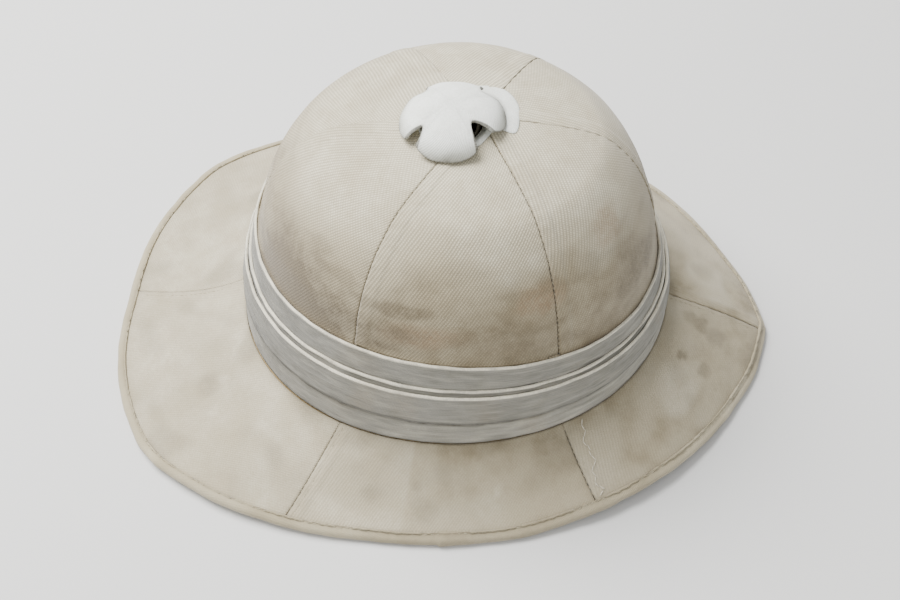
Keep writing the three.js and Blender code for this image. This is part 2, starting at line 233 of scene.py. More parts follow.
def dome_height(x, y):
    """Height of the crown's cloth over a place on top of the dome."""
    around = np.arange(0, 361)
    run = oval(CROWN_SHOULDER, around)[:, :2] - np.array(TOP_MEETING)
    heading = np.unwrap(np.arctan2(run[:, 0], -run[:, 1]))
    off = np.stack([x - TOP_MEETING[0], y - TOP_MEETING[1]], -1)
    want = np.mod(np.arctan2(off[..., 0], -off[..., 1]) - heading[0], 2 * np.pi) + heading[0]
    angle = np.interp(want, heading, around)
    reach = np.interp(want, heading, np.linalg.norm(run, axis=1))
    return dome(angle, np.linalg.norm(off, axis=-1) / reach)[..., 2]


# ---- Meshes: a flat or ring-shaped sheet of squares, moved into place -----------------------


def flat_sheet(columns, rows):
    """A flat sheet of squares, with each vertex's column and row."""
    bm = bmesh.new()
    bmesh.ops.create_grid(bm, x_segments=columns, y_segments=rows, size=0.5)
    column = [round((v.co.x + 0.5) * columns) for v in bm.verts]
    row = [round((v.co.y + 0.5) * rows) for v in bm.verts]
    return bm, column, row


def ring_sheet(columns, rows):
    """A sheet joined into a ring, with each vertex's column and row."""
    bm = bmesh.new()
    bmesh.ops.create_cone(bm, segments=columns, radius1=1, radius2=1, depth=1)
    upright = [e for e in bm.edges if abs(e.verts[0].co.z - e.verts[1].co.z) > 0.5]
    bmesh.ops.subdivide_edges(bm, edges=upright, cuts=rows - 1)
    turn = [math.atan2(v.co.x, -v.co.y) / (2 * math.pi) for v in bm.verts]
    column = [round(t * columns) % columns for t in turn]
    row = [round((v.co.z + 0.5) * rows) for v in bm.verts]
    return bm, column, row


def normals(points, ring):
    if ring:
        wrapped = np.concatenate([points[:, -1:], points, points[:, :1]], 1)
        across = wrapped[:, 2:] - wrapped[:, :-2]
    else:
        across = np.gradient(points, axis=1)
    normal = np.cross(across, np.gradient(points, axis=0))
    return normal / np.maximum(np.linalg.norm(normal, axis=-1, keepdims=True), 1e-9)


def run_length(points, axis):
    """Length along rows (axis 1) or columns (axis 0), from 0 at the start."""
    step = np.linalg.norm(np.diff(points, axis=axis), axis=-1)
    start = np.zeros_like(np.take(step, [0], axis=axis))
    return np.concatenate([start, np.cumsum(step, axis=axis)], axis=axis)


def lumps(points, size, seed):
    """Soft unevenness from -1 to 1, with lumps about as far apart as size."""
    shift = Vector((seed * 17.3, seed * -5.9, seed * 9.7))
    flat = (points.reshape(-1, 3) / size).tolist()
    return np.array([noise.noise(Vector(p) + shift) for p in flat]).reshape(points.shape[:-1])


def sheet_piece(name, sheet, points, cut, marks, finish, thick=0.0, subdivided=0):
    """Moves a sheet's vertices to points, lays out its cloth as cut, and makes it a piece."""
    bm, column, row = sheet
    bm.verts.index_update()
    columns = points.shape[1]
    layers = {key: bm.verts.layers.float.new(key) for key in marks}
    for vert, c, r in zip(bm.verts, column, row):
        vert.co = points[r, c] * MM
        for key, layer in layers.items():
            vert[layer] = float(marks[key][r, c])
    uv = bm.loops.layers.uv.new("cut")
    for face in bm.faces:
        over = max(column[v.index] for v in face.verts) - min(column[v.index] for v in face.verts) > 1
        for loop in face.loops:
            c, r = column[loop.vert.index], row[loop.vert.index]
            loop[uv].uv = cut[r, c + columns if over and c == 0 else c] * MM
    bmesh.ops.remove_doubles(bm, verts=bm.verts, dist=1e-6)
    return finished(name, bm, finish, thick, subdivided)


def finished(name, bm, finish, thick=0.0, subdivided=0):
    """Makes a mesh a piece of the helmet, smooth and in its finish."""
    mesh = bpy.data.meshes.new(name)
    for face in bm.faces:
        face.smooth = True
    bm.to_mesh(mesh)
    bm.free()
    mesh.materials.append(finish)
    piece = bpy.data.objects.new(name, mesh)
    bpy.context.scene.collection.objects.link(piece)
    if thick:
        wall = piece.modifiers.new("cloth", "SOLIDIFY")
        wall.thickness = thick * MM
        wall.offset = -1
    if subdivided:
        round_off = piece.modifiers.new("round", "SUBSURF")
        round_off.levels = subdivided
        round_off.render_levels = subdivided
    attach(piece, BODY)
    return piece


def cut_of_panel(points):
    """The panel laid flat: each row centred, rows as far apart as along the panel's middle."""
    width = run_length(points, 1)
    length = run_length(points, 0)[:, points.shape[1] // 2]
    across = width - width[:, -1:] / 2
    return np.stack(np.broadcast_arrays(across, length[:, None]), -1)


def cut_of_ring(points):
    """The ring's strip laid flat, with one more column to close it."""
    closed = np.concatenate([points, points[:, :1]], 1)
    length = run_length(closed, 1).max(0)
    return np.stack(np.broadcast_arrays(length[None, :], run_length(closed, 0)[:, :1]), -1)


# ---- Finishes -------------------------------------------------------------------------------


def colour(text):
    """An sRGB hex value as linear RGBA."""
    parts = [int(text[i : i + 2], 16) / 255 for i in (1, 3, 5)]
    linear = [p / 12.92 if p <= 0.04045 else ((p + 0.055) / 1.055) ** 2.4 for p in parts]
    return (*linear, 1.0)


def add(tree, kind, inputs=None, **settings):
    """Adds a node with its settings; an input is a value or the socket it is linked from."""
    made = tree.nodes.new(kind)
    for key, value in settings.items():
        setattr(made, key, value)
    for key, value in (inputs or {}).items():
        if isinstance(value, bpy.types.NodeSocket):
            tree.links.new(value, made.inputs[key])
        else:
            made.inputs[key].default_value = value
    return made


def finish_tree(name):
    material = bpy.data.materials.new(name)
    material.use_nodes = True
    material.node_tree.nodes.clear()
    return material, material.node_tree


def band_scale(pitch):
    """The wave texture's scale that repeats its bands at a pitch in millimetres."""
    return math.pi / 10 / (pitch * MM)


def noise_scale(size):
    return 1 / (size * MM)


def cotton(name, hues, rib, rib_turn, mottle, nap=0.2, rib_depth=0.3, streak=0.0):
    """Woven cotton: ribs of thread along the cut, shaded between them, blotches of wear and dirt, painted
    light and shade from the marks, and a dusty nap.

    hues holds the hex colours: cloth, worn (the blotches), bleached_and_lit (faded cloth and painted light),
    soiled_and_shaded (dirt and painted shade) and rusty. streak is how strongly long level threads show, as
    they do in a band of gathered cloth.
    """
    material, tree = finish_tree(name)
    place = add(tree, "ShaderNodeTexCoord").outputs["Object"]
    cut = add(tree, "ShaderNodeUVMap", uv_map="cut").outputs["UV"]

    def bands(turn, pitch, distortion):
        turned = add(tree, "ShaderNodeMapping", {"Vector": cut, "Rotation": (0, 0, math.radians(turn))})
        inputs = {
            "Vector": turned.outputs["Vector"],
            "Scale": band_scale(pitch),
            "Distortion": distortion,
            "Detail": 2.0,
            "Detail Scale": 0.6,
        }
        return add(tree, "ShaderNodeTexWave", inputs, wave_type="BANDS").outputs["Fac"]

    def speckle(size, detail, rough=0.6):
        inputs = {"Vector": place, "Scale": noise_scale(size), "Detail": detail, "Roughness": rough}
        return add(tree, "ShaderNodeTexNoise", inputs).outputs["Fac"]

    def stretch(value, low, high, to_low=0.0, to_high=1.0):
        inputs = {"Value": value, "From Min": low, "From Max": high, "To Min": to_low, "To Max": to_high}
        return add(tree, "ShaderNodeMapRange", inputs, interpolation_type="SMOOTHSTEP").outputs["Result"]

    def math_of(operation, a, b):
        return add(tree, "ShaderNodeMath", {0: a, 1: b}, operation=operation, use_clamp=True).outputs[0]

    def mark(key, patchy):
        amount = add(tree, "ShaderNodeAttribute", attribute_name=key).outputs["Fac"]
        return math_of("MULTIPLY", amount, patchy)

    def blend(factor, a, b):
        return add(tree, "ShaderNodeMix", {0: factor, 6: a, 7: b}, data_type="RGBA").outputs[2]

    broad = speckle(46, 4)
    patch = speckle(11, 5, 0.7)
    fine = speckle(2.4, 4, 0.7)
    fuzz = speckle(0.8, 2)
    ribs = bands(rib_turn, rib, 1.6)
    threads = bands(rib_turn - 76, rib * 0.8, 1.4)
    weave = math_of("MULTIPLY", ribs, stretch(threads, 0, 1, 0.35, 1))
    drawn = add(tree, "ShaderNodeMapping", {"Vector": cut, "Scale": (0.06, 1.0, 1.0)}).outputs["Vector"]
    level = {"Vector": drawn, "Scale": noise_scale(1.1), "Detail": 3.0, "Roughness": 0.6}
    level = add(tree, "ShaderNodeTexNoise", level).outputs["Fac"]

    shade = math_of("MULTIPLY", stretch(broad, 0.36, 0.68, 0, mottle), stretch(patch, 0.3, 0.7, 0.15, 1))
    tone = blend(shade, colour(hues["cloth"]), colour(hues["worn"]))
    tone = blend(mark("bleach_and_light", stretch(patch, 0.28, 0.68, 0.45, 1)), tone, colour(hues["bleached_and_lit"]))
    tone = blend(mark("rust", stretch(fine, 0.3, 0.7, 0.35, 1)), tone, colour(hues["rusty"]))
    soil_and_shade_patchiness = math_of("MULTIPLY", stretch(fine, 0.25, 0.75, 0.72, 1), stretch(patch, 0.3, 0.68, 0.62, 1))
    tone = blend(mark("soil_and_shade", soil_and_shade_patchiness), tone, colour(hues["soiled_and_shaded"]))
    if streak:
        tone = blend(stretch(level, 0.35, 0.7, 0, streak), tone, colour(hues["bleached_and_lit"]))
        tone = blend(stretch(level, 0.5, 0.3, 0, streak), tone, colour(hues["soiled_and_shaded"]))
    # Painted shade in the valleys between the ribs, as deep as rib_depth.
    between = stretch(weave, 0.0, 0.9, rib_depth, 0)
    tone = blend(between, tone, colour(hues["soiled_and_shaded"]))
    flecks = stretch(fuzz, 0.3, 0.7, 0.22, 0)
    tone = blend(flecks, tone, colour(hues["worn"]))

    height = math_of("ADD", math_of("MULTIPLY", weave, 0.6), math_of("MULTIPLY", fine, 0.35))
    bump = add(tree, "ShaderNodeBump", {"Height": height, "Strength": 0.5, "Distance": 0.45 * MM})
    inputs = {
        "Base Color": tone,
        "Roughness": 0.92,
        "Specular IOR Level": 0.25,
        "Sheen Weight": nap,
        "Sheen Roughness": 0.6,
        "Normal": bump.outputs["Normal"],
    }
    surface = add(tree, "ShaderNodeBsdfPrincipled", inputs)
    add(tree, "ShaderNodeOutputMaterial", {"Surface": surface.outputs["BSDF"]})
    return material


def moulded_pith(name):
    """Pressed pith faced with paper: buff, dry and matt, with fine grain and pale fibres."""
    material, tree = finish_tree(name)
    place = add(tree, "ShaderNodeTexCoord").outputs["Object"]
    grain = add(tree, "ShaderNodeTexNoise", {"Vector": place, "Scale": noise_scale(3), "Detail": 6.0})
    cloud = add(tree, "ShaderNodeTexNoise", {"Vector": place, "Scale": noise_scale(45), "Detail": 3.0})
    pits = add(tree, "ShaderNodeTexVoronoi", {"Vector": place, "Scale": noise_scale(2.2)})
    base = {0: cloud.outputs["Fac"], 6: colour("#b79f74"), 7: colour("#9a8359")}
    tone = add(tree, "ShaderNodeMix", base, data_type="RGBA").outputs[2]
    spots = {"Value": grain.outputs["Fac"], "From Min": 0.4, "From Max": 0.7, "To Max": 0.35}
    amount = add(tree, "ShaderNodeMapRange", spots).outputs["Result"]
    fibres = {0: amount, 6: tone, 7: colour("#d3c29c")}
    tone = add(tree, "ShaderNodeMix", fibres, data_type="RGBA").outputs[2]
    bump = {"Height": pits.outputs["Distance"], "Strength": 0.3, "Distance": 0.3 * MM}
    normal = add(tree, "ShaderNodeBump", bump).outputs["Normal"]
    inputs = {"Base Color": tone, "Roughness": 0.95, "Specular IOR Level": 0.2, "Normal": normal}
    surface = add(tree, "ShaderNodeBsdfPrincipled", inputs)
    add(tree, "ShaderNodeOutputMaterial", {"Surface": surface.outputs["BSDF"]})
    return material


def dull_tin(name):
    """Tinned sheet gone dull: grey metal with darker, rougher patches of tarnish."""
    material, tree = finish_tree(name)
    place = add(tree, "ShaderNodeTexCoord").outputs["Object"]
    cloud = add(tree, "ShaderNodeTexNoise", {"Vector": place, "Scale": noise_scale(6), "Detail": 5.0})
    base = {0: cloud.outputs["Fac"], 6: colour("#8d8a80"), 7: colour("#5d564a")}
    tone = add(tree, "ShaderNodeMix", base, data_type="RGBA").outputs[2]
    rough = {"Value": cloud.outputs["Fac"], "To Min": 0.35, "To Max": 0.7}
    roughness = add(tree, "ShaderNodeMapRange", rough).outputs["Result"]
    inputs = {"Base Color": tone, "Metallic": 0.85, "Roughness": roughness}
    surface = add(tree, "ShaderNodeBsdfPrincipled", inputs)
    add(tree, "ShaderNodeOutputMaterial", {"Surface": surface.outputs["BSDF"]})
    return material


def thread(name, text):
    """Twisted cotton sewing thread: matt, with a spiral of light and dark along each stitch."""
    material, tree = finish_tree(name)
    place = add(tree, "ShaderNodeTexCoord").outputs["Object"]
    twist = add(tree, "ShaderNodeTexWave", {"Vector": place, "Scale": band_scale(0.5), "Distortion": 2.0},
                bands_direction="DIAGONAL")
    strength = {"Value": twist.outputs["Fac"], "To Max": 0.4}
    amount = add(tree, "ShaderNodeMapRange", strength).outputs["Result"]
    base = {0: amount, 6: colour(text), 7: colour("#6d6655")}
    tone = add(tree, "ShaderNodeMix", base, data_type="RGBA").outputs[2]
    inputs = {"Base Color": tone, "Roughness": 0.85, "Specular IOR Level": 0.3}
    surface = add(tree, "ShaderNodeBsdfPrincipled", inputs)
    add(tree, "ShaderNodeOutputMaterial", {"Surface": surface.outputs["BSDF"]})
    return material


def plain_floor(name):
    """Matt pale board, very slightly clouded so that it isn't one flat tone."""
    material, tree = finish_tree(name)
    place = add(tree, "ShaderNodeTexCoord").outputs["Object"]
    cloud = add(tree, "ShaderNodeTexNoise", {"Vector": place, "Scale": noise_scale(400)})
    base = {0: cloud.outputs["Fac"], 6: colour("#d9d8d5"), 7: colour("#d4d3d0")}
    tone = add(tree, "ShaderNodeMix", base, data_type="RGBA").outputs[2]
    inputs = {"Base Color": tone, "Roughness": 0.9, "Specular IOR Level": 0.1}
    surface = add(tree, "ShaderNodeBsdfPrincipled", inputs)
    add(tree, "ShaderNodeOutputMaterial", {"Surface": surface.outputs["BSDF"]})
    return material


def tint(cloth, worn, bleached_and_lit, soiled_and_shaded, rusty):
    return {"cloth": cloth, "worn": worn, "bleached_and_lit": bleached_and_lit, "soiled_and_shaded": soiled_and_shaded, "rusty": rusty}


# Each cloth's colours: as it is, worn, bleached and painted lit, soiled and painted shaded, and rusty.
CROWN_TINT = tint("#bbaf92", "#8e7f61", "#dcd4ba", "#60543f", "#a07c58")
BRIM_TINT = tint("#b0a489", "#7e7155", "#cfc6ae", "#5f5541", "#9c8060")
BAND_TINT = tint("#8a877d", "#737063", "#efe7d0", "#45423a", "#968262")
EDGE_TINT = tint("#aea284", "#95886c", "#cfc5aa", "#655a45", "#a0845f")
WHITE_TINT = tint("#dfe0d5", "#aeada0", "#fcfef6", "#6c695e", "#b3a48f")

# Cotton drill, sun-bleached: a dry cloth with fine slanting ribs and uneven, faded blotches.
crown_drill = cotton("cotton_drill_crown", CROWN_TINT, rib=1.45, rib_turn=32, mottle=0.95,
                     rib_depth=0.46)
brim_drill = cotton("cotton_drill_brim", BRIM_TINT, rib=1.4, rib_turn=32, mottle=1.0, rib_depth=0.16)
# Plain-woven cotton in a cooler, greyer dye: smoother than the drill, with painted highlights along the
# folds' rolled edges.
band_cotton = cotton("plain_cotton_pugaree", BAND_TINT, rib=0.9, rib_turn=90, mottle=0.7, rib_depth=0.14,
                     streak=0.08)
# Cotton tape: firmer and closer woven, rubbed pale along the rim.
edge_tape = cotton("cotton_tape_binding", EDGE_TINT, rib=0.9, rib_turn=58, mottle=0.6, rib_depth=0.12)
# Drill whitened with pipe clay: chalky and cool, the ribs half filled.
white_drill = cotton("whitened_drill_ventilator", WHITE_TINT, rib=1.0, rib_turn=40, mottle=0.5,
                     nap=0.1, rib_depth=0.1)
pith = moulded_pith("moulded_pith_shell")
tin = dull_tin("tinned_sheet_collar")
dark_thread = thread("sewing_thread_worn", "#aaa088")
pale_thread = thread("sewing_thread_pale", "#e2dac6")

# ---- Wear and painted light: where the cloth is soiled, bleached or reddened, and where light and shade are painted ---


def blob(points, centre, size, seed, ragged=0.35):
    """1 inside a soft, ragged spot and 0 outside. size is its reach along x, y and z."""
    off = np.linalg.norm((points - centre) / np.array(size), axis=-1)
    return 1 - ramp(off + ragged * lumps(points, max(size) * 0.5, seed), 0.35, 1.1)


def no_marks(points):
    shape = points.shape[:-1]
    return {"soil_and_shade": np.zeros(shape), "bleach_and_light": np.zeros(shape), "rust": np.zeros(shape)}


# Stains on the crown and brim: kind, angle, way, reach along x, y and z, strength.
CROWN_STAINS = [
    ("soil_and_shade", 256, 0.29, (14, 22, 5), 0.95),
    ("soil_and_shade", 236, 0.23, (20, 18, 14), 1.1),
    ("soil_and_shade", 216, 0.27, (26, 24, 18), 1.0),
    ("soil_and_shade", 338, 0.22, (32, 26, 20), 1.0),
    ("soil_and_shade", 322, 0.1, (22, 24, 14), 0.7),
    ("rust", 299, 0.31, (12, 17, 10), 0.6),
    ("rust", 262, 0.2, (14, 30, 8), 0.7),
    ("rust", 330, 0.42, (14, 14, 12), 0.5),
    ("bleach_and_light", 292, 0.5, (24, 26, 20), 1.0),
    ("bleach_and_light", 330, 0.47, (34, 30, 26), 1.0),
]
BRIM_STAINS = [
    ("soil_and_shade", 354, 0.28, (6, 7, 6), 0.7),
    ("soil_and_shade", 353, 0.38, (7, 8, 6), 0.75),
    ("soil_and_shade", 352, 0.55, (7, 9, 6), 0.6),
    ("soil_and_shade", 343, 0.31, (4, 5, 4), 0.8),
    ("soil_and_shade", 343, 0.58, (5, 6, 4), 0.7),
    ("soil_and_shade", 335, 0.62, (6, 6, 5), 0.3),
    ("soil_and_shade", 264, 0.44, (5, 3.5, 4), 0.35),
    ("bleach_and_light", 206, 0.31, (5, 6, 5), 0.9),
    ("bleach_and_light", 213, 0.48, (4, 7, 5), 0.9),
    ("bleach_and_light", 283, 0.5, (7, 3, 4), 0.8),
    ("bleach_and_light", 335, 0.45, (22, 24, 12), 0.75),
    ("bleach_and_light", 8, 0.5, (26, 24, 12), 0.75),
    ("soil_and_shade", 248, 0.5, (22, 30, 12), 0.22),
]


def stain(marks, points, face, stains):
    for seed, (kind, angle, way, size, strength) in enumerate(stains):
        centre = face(np.float64(angle), np.float64(way))
        marks[kind] = np.maximum(marks[kind], strength * blob(points, centre, size, seed + 3))


# ---- Crown and brim cloth -------------------------------------------------------------------

DRILL = 0.7  # how thick the panels' cloth is
TURNED_EDGE = 7  # width of the seam's turned edges, under one panel
TURNED_LIFT = 0.4
# How deep and dirty each seam is, as a share of the worst.
CROWN_SEAMS_SHOWN = [0.05, 0.3, 0.3, 0.1, 1, 1]
BRIM_SEAMS_SHOWN = [0.5, 0.5, 0.5, 0.35, 0.8, 1]
SEAM_DROP = 0.35
SEAM_HALF = 0.34
TOP_STITCH = 2.6  # from a brim seam to the row of stitches beside it
COVER_START = 0.025  # where the brim's cloth begins, past the crown's foot
GORE_COLUMNS = 72
GORE_ROWS = 104
GORE_HIDDEN_ROWS = 10
COVER_COLUMNS = 80
COVER_ROWS = 44


def crowded(count):
    """Shares from 0 to 1, closer together near both ends."""
    even = np.linspace(0, 1, count + 1)
    return 0.45 * even + 0.55 * (0.5 - 0.5 * np.cos(np.pi * even))


def seam_relief(points, number, pucker_pitch, shown):
    """How a panel's face rises and falls: edges turned into the seams, puckers and the belly."""
    across = run_length(points, 1)
    from_start, from_end = across, across[:, -1:] - across
    near = np.minimum(from_start, from_end)
    strength = np.where(from_start < from_end, shown[number % PANELS], shown[(number + 1) % PANELS])
    along = run_length(points, 0)
    turned = TURNED_LIFT * (1 - ramp(from_start, TURNED_EDGE - 1, TURNED_EDGE + 0.6))
    turned *= 1 + 0.25 * lumps(points, 14, number + 40)
    drop = -(SEAM_DROP + TURNED_LIFT) * strength * np.exp(-((near / SEAM_HALF) ** 2))
    wander = 3 * lumps(points, 18, number + 50)
    pucker = 0.16 * np.sin(2 * np.pi * along / pucker_pitch + wander) * np.exp(-near / 3.5)
    belly = 0.35 * (1 - np.exp(-near / 15))
    return turned + drop + pucker + belly, near, from_start, strength


def crown_gore(number):
    sheet = flat_sheet(GORE_COLUMNS, GORE_ROWS)
    hidden = np.linspace(-0.97, 0, GORE_HIDDEN_ROWS, endpoint=False)
    way = np.concatenate([hidden, np.linspace(0, 1, GORE_ROWS + 1 - GORE_HIDDEN_ROWS)])[:, None]
    angle = panel_angle(CROWN_SEAMS, number, crowded(GORE_COLUMNS))[None, :]
    way, angle = np.broadcast_arrays(way, angle)
    base = crown(angle, way, VENT_RADIUS + GAP)
    relief, near, from_start, strength = seam_relief(base, number, 5.5, CROWN_SEAMS_SHOWN)
    relief = relief + 0.45 * lumps(base, 40, number + 1) + 0.14 * lumps(base, 10, number + 11)
    shown = ramp(way, -0.02, 0.04)
    points = base + normals(base, False) * (relief * shown)[..., None]
    marks = no_marks(base)
    marks["soil_and_shade"] = strength * (0.35 * np.exp(-((near / 0.5) ** 2)) + 0.1 * np.exp(-near / 5))
    # Darker towards the pugaree and darkest just above its edge: painted shade where the light falls off
    # down the crown.
    marks["soil_and_shade"] += 0.52 * (1 - ramp(way, 0.02, 0.44)) + 0.25 * (1 - ramp(way, 0, 0.03))
    marks["soil_and_shade"] += 0.4 * ramp(lumps(base, 26, number + 31), 0, 0.6) * (1 - ramp(way, 0.2, 0.6))
    marks["soil_and_shade"] += 0.3 * ramp(lumps(base * [1, 1, 2.5], 16, 37), 0.05, 0.5) * (1 - ramp(way, 0.3, 0.7))
    turned = np.mod(angle, 360)
    sides = 1.5 * np.exp(-(((turned - 216) / 21) ** 2)) + 0.2 * np.exp(-(((turned - 345) / 20) ** 2))
    marks["soil_and_shade"] += sides * (1 - ramp(way, 0.16, 0.55))
    # Lighter towards the top of the crown: painted light from above, with uneven fading.
    marks["bleach_and_light"] = 1.0 * ramp(way, 0.28, 0.62) + 0.35 * lumps(base, 30, number + 21)
    marks["bleach_and_light"] += 0.1 * np.exp(-(((from_start - TURNED_EDGE) / 1.2) ** 2))
    to_vent = np.linalg.norm(base[..., :2] - np.array(VENT), axis=-1)
    # Lighter round the ventilator at the top: painted light from above.
    marks["bleach_and_light"] += 0.6 * (1 - ramp(to_vent, 26, 44))
    stain(marks, base, crown, CROWN_STAINS)
    name = f"crown_gore_{number + 1}"
    piece = sheet_piece(name, sheet, points, cut_of_panel(base), marks, crown_drill, DRILL)
    return piece, name


def brim_cover(number):
    sheet = flat_sheet(COVER_COLUMNS, COVER_ROWS)
    angle = panel_angle(BRIM_SEAMS, number, crowded(COVER_COLUMNS))[None, :]
    out = 1 - np.linspace(0, 1, COVER_ROWS + 1)[:, None]
    way, angle = np.broadcast_arrays(COVER_START + (1 - COVER_START) * out, angle)
    way = np.minimum(way, 1)
    base = brim(angle, way)
    relief, near, from_start, strength = seam_relief(base, number + PANELS, 6.5, BRIM_SEAMS_SHOWN)
    sewn = 0.22 * np.exp(-(((from_start - TOP_STITCH) / 0.7) ** 2))
    relief = relief - sewn + 0.4 * lumps(base, 45, number + 61) + 0.12 * lumps(base, 12, number + 71)
    to_rim = (1 - way) * brim_run(angle)
    from_crown = way * brim_run(angle)
    shown = ramp(to_rim, BINDING_SHOWN - 3, BINDING_SHOWN + 1) * ramp(from_crown, 2, 6)
    points = base + normals(base, False) * (relief * shown)[..., None]
    marks = no_marks(base)
    marks["soil_and_shade"] = strength * (0.35 * np.exp(-((near / 0.6) ** 2)) + 0.08 * np.exp(-near / 5))
    # Darker next to the crown, painted shadow under the pugaree, and along the binding's edge, painted shade
    # at its step.
    marks["soil_and_shade"] += 0.4 * np.exp(-from_crown / 4) + 0.35 * np.exp(-np.abs(to_rim - BINDING_SHOWN) / 1.2)
    marks["soil_and_shade"] += 0.42 * ramp(lumps(base, 20, number + 91), 0.05, 0.55)
    # Lighter towards the back of the brim: painted light on the side the light falls on.
    lit_side = 0.5 - 0.5 * np.cos(np.radians(angle - 30))
    # Slightly darker towards the front on the wearer's right: painted shade on the side away from the light.
    marks["soil_and_shade"] += 0.06 * ramp(angle, 240, 300)
    marks["bleach_and_light"] = 0.3 + 0.35 * ramp(lit_side, 0.2, 0.9) * (angle < 262) + 0.5 * lumps(base, 50, number + 81)
    marks["bleach_and_light"] += 0.35 * lumps(base, 14, number + 101)
    stain(marks, base, brim, BRIM_STAINS)
    name = f"brim_cover_{number + 1}"
    piece = sheet_piece(name, sheet, points, cut_of_panel(base), marks, brim_drill, DRILL)
    return piece, name


# ---- Stitches -------------------------------------------------------------------------------


def stitches(bm, run, up, length, pitch, width, skew=0.0, seed=1):
    """A row of stitches along a run of points: short, fat threads pressed into the cloth."""
    walked = run_length(run, 0)
    count = int(walked[-1] / pitch)
    for k in range(count):
        at = (k + 0.5) * pitch
        i = min(int(np.searchsorted(walked, at, side="right")) - 1, len(run) - 2)
        share = (at - walked[i]) / (walked[i + 1] - walked[i])
        centre = run[i] + (run[i + 1] - run[i]) * share
        along = Vector(run[i + 1] - run[i]).normalized()
        normal = Vector(up[i])
        side = normal.cross(along).normalized()
        wobble = skew * noise.noise(Vector((k * 0.9, seed, 0)))
        along = (along + side * wobble).normalized()
        side = normal.cross(along).normalized()
        size = Matrix.Diagonal((length, width, width * 0.7, 1))
        turn = Matrix((along, side, along.cross(side))).transposed().to_4x4()
        place = Matrix.Translation(Vector(centre)) @ turn @ size
        place = Matrix.Scale(MM, 4) @ place
        bmesh.ops.create_uvsphere(bm, u_segments=6, v_segments=4, radius=0.5, matrix=place)


def crown_seam_stitches():
    bm = bmesh.new()
    for k, angle in enumerate(CROWN_SEAMS):
        way = np.linspace(0.02, 0.97, 90)
        around = np.full_like(way, angle)
        run = crown_at(around, way, -0.15)
        up = crown_at(around, way, 1.0) - crown(around, way)
        stitches(bm, run, up, 2.0, 3.0, 0.42, 0.4, k + 1)
    return finished("crown_seam_stitches", bm, dark_thread)


def brim_seam_stitches():
    bm = bmesh.new()
    for k, angle in enumerate(BRIM_SEAMS):
        way = np.linspace(0.06, 0.995, 60) * binding_way(angle)
        around = np.full_like(way, angle)
        reach = np.linalg.norm(brim(around, way)[:, :2] - [0, CROWN_AXIS_Y], axis=1)
        side = -1 if k == 0 else 1
        beside = angle + side * np.degrees(TOP_STITCH / reach)
        run = brim_at(beside, way, TURNED_LIFT - 0.15)
        up = brim_at(beside, way, 1.0) - brim(beside, way)
        stitches(bm, run, up, 2.0, 2.9, 0.5, 0.2, k + 21)
        run = brim_at(around, way, -0.35)
        stitches(bm, run, up, 1.8, 3.3, 0.5, 0.4, k + 31)
    return finished("brim_seam_stitches", bm, dark_thread)


def torn_threads():
    """Pale threads pulled loose beside the brim's seam at the right, lying on the cloth."""
    bm = bmesh.new()
    way = np.linspace(0.06, 0.9, 50)
    drift = 4.6 * (1 - way) ** 0.8 + 0.5 * np.sin(way * 17) + 0.35 * np.sin(way * 41)
    angle = BRIM_SEAMS[5] + 0.35 + drift
    lift = TURNED_LIFT + 0.75
    run = brim_at(angle, way, lift)
    up = brim_at(angle, way, 1.0) - brim(angle, way)
    stitches(bm, run, up, 3.6, 3.0, 0.5, 0.5, 51)
    stitches(bm, run[22:], up[22:], 2.2, 4.5, 0.3, 2.2, 52)
    return finished("torn_threads", bm, pale_thread)


# ---- Binding --------------------------------------------------------------------------------

BINDING_SHOWN = 3.7  # the tape's width on top of the brim
EDGE_ROUND = 2.6
EDGE_COLUMNS = 600
BINDING_STITCH = 0.6  # from the binding's inner edge
LAP_ANGLE = 269.5  # where the binding's two ends lap


def binding_section(angle):
    """The folded tape's outer face, from under the brim, round the rim, to its top edge."""
    edge = rim_reach(angle)
    low = rim_lift(angle)
    high = low + RIM_HEIGHT
    way = binding_way(angle)
    below = -CLOTH - GAP - brim_wall(way) - GAP
    foot = brim_at(angle, way, below - BINDING_CLOTH)
    foot[..., 2] = np.maximum(foot[..., 2], low)
    way = 1 - BINDING_SHOWN / brim_run(angle)
    quarter = np.radians(np.linspace(0, 90, 6))
    bends = [(EDGE_ROUND * (1 - np.sin(q)), EDGE_ROUND * (1 - np.cos(q))) for q in quarter]
    under = [polar(angle, edge - out, low + rise) for out, rise in bends]
    over = [polar(angle, edge - rise, high - out) for out, rise in bends]
    flat_end = under[0]
    top = brim_at(angle, way, GAP + BINDING_CLOTH)
    tucked = brim_at(angle, way + 0.15 / brim_run(angle), GAP * 0.3)
    floor_run = [mix(foot, flat_end, s) for s in (0, 0.35, 0.7)]
    top_run = [mix(over[-1], top, s) for s in (0.25, 0.5, 0.7, 0.85, 0.95, 1)]
    return np.stack([*floor_run, *under, *over, *top_run, tucked])


